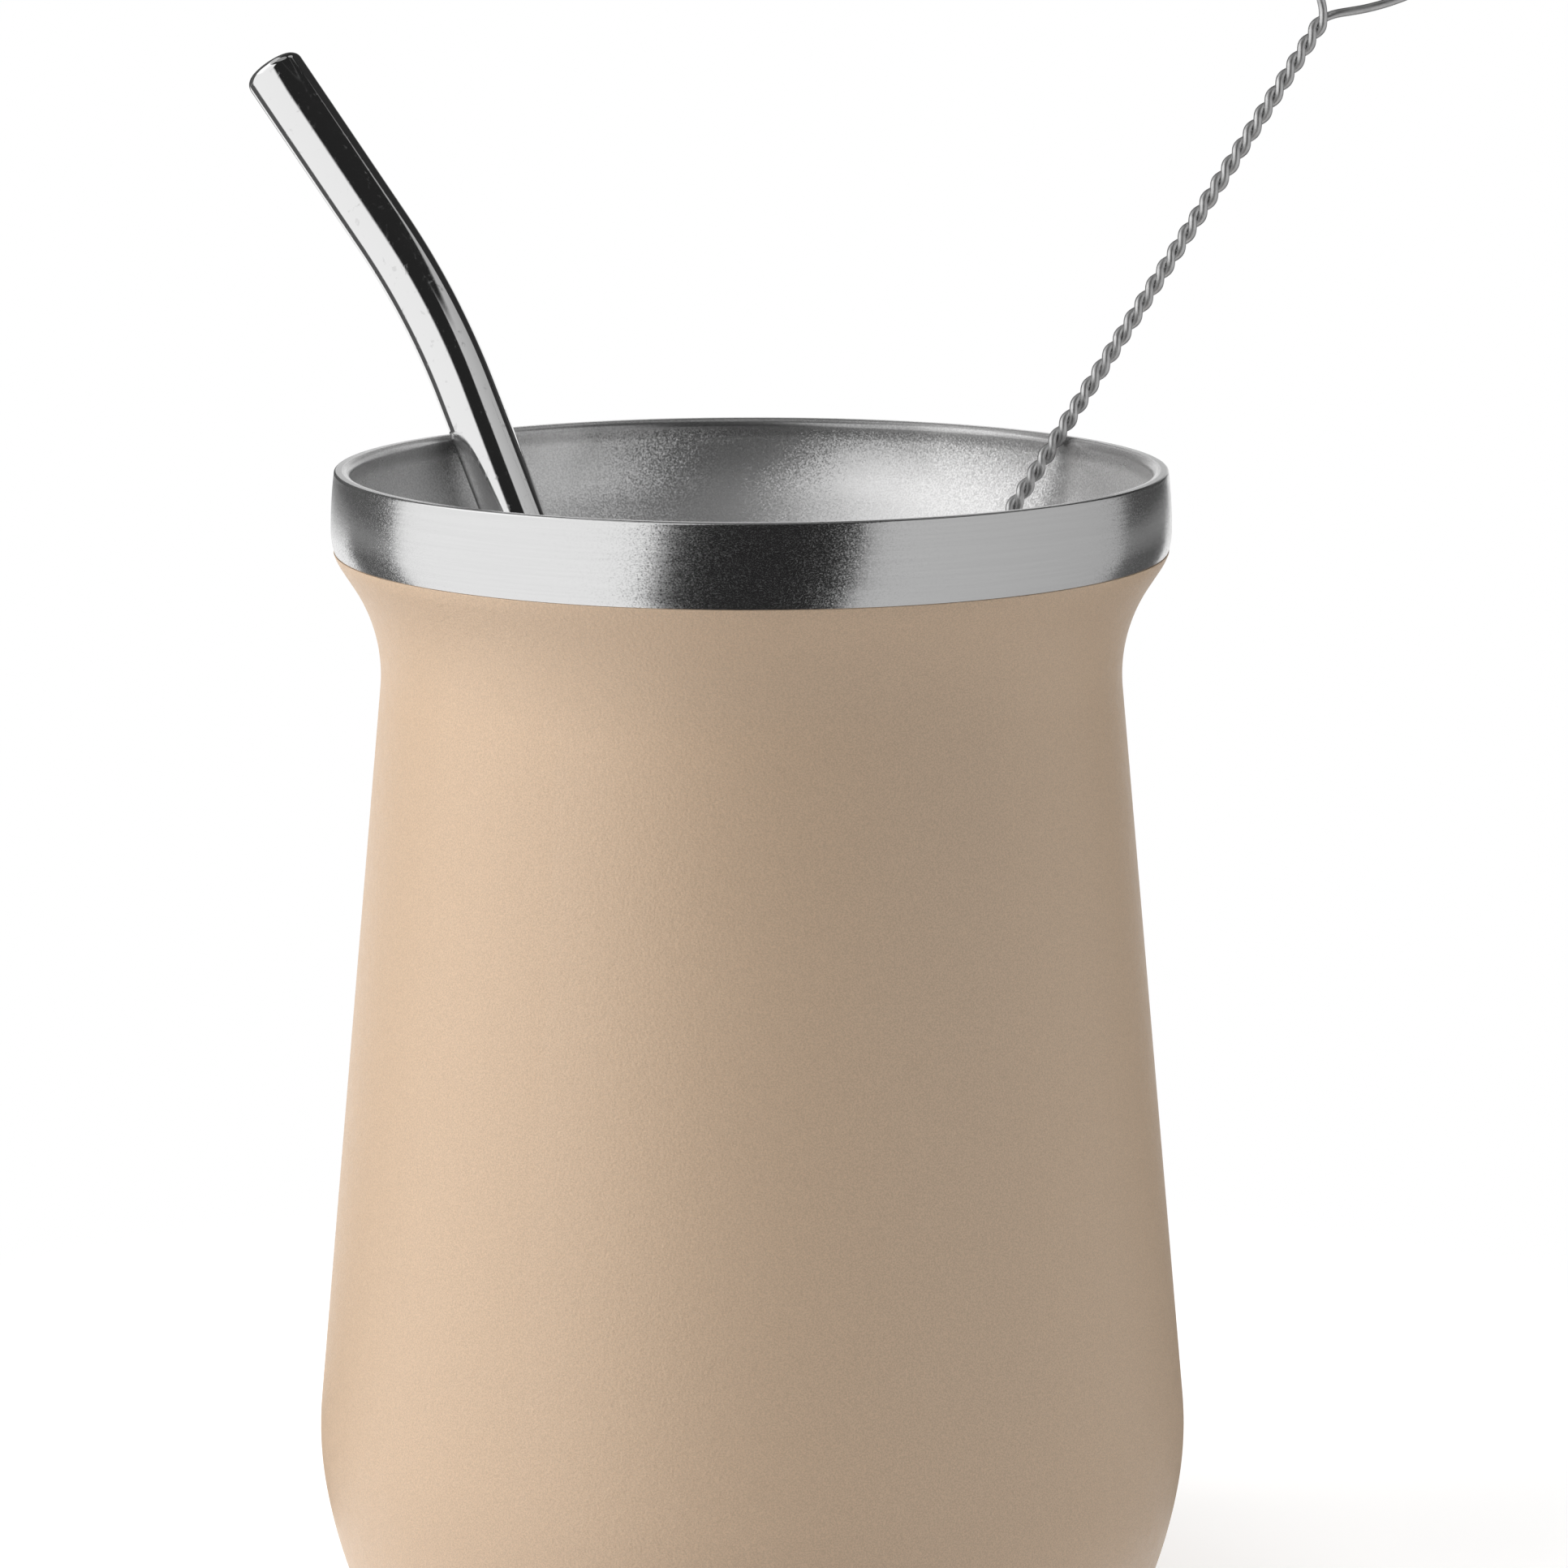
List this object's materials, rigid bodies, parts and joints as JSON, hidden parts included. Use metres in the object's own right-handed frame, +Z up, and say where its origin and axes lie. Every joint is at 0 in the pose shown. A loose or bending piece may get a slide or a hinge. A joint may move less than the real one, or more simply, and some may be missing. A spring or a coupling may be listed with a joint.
{
  "type": "steel mate cup with straw and cleaning brush",
  "caption": "Belly-shaped double-walled steel mate cup with a bare brushed rim band and tan powder coat, holding a bent steel straw with strainer and a twisted wire cleaning brush.",
  "frame": {"origin": "centre of the base, on the plane of its resting ring", "axes": "+Z up along the cup's axis; -Y is the side that the picture is taken from; the straw leans towards -X and +Y, the brush towards +X and +Y"},
  "size_m": [0.1216, 0.0832, 0.1747],
  "materials": {
    "band_steel": "stainless steel, finely brushed around the axis",
    "tan_powder_coat": "matt powder coat with a fine pebbled grain",
    "liner_steel": "stainless steel, bead blasted, with a polished lip",
    "straw_steel": "mirror polished stainless steel",
    "strainer_steel": "polished stainless steel",
    "wire_steel": "drawn steel wire, satin",
    "bristle_nylon": "white nylon filament"
  },
  "bodies": {
    "root": {"outer_shell": "band_steel", "powder_coat": "tan_powder_coat", "inner_liner": "liner_steel", "straw_tube": "straw_steel", "strainer": "strainer_steel", "brush_wire": "wire_steel", "bristles": "bristle_nylon"}
  },
  "joints": []
}
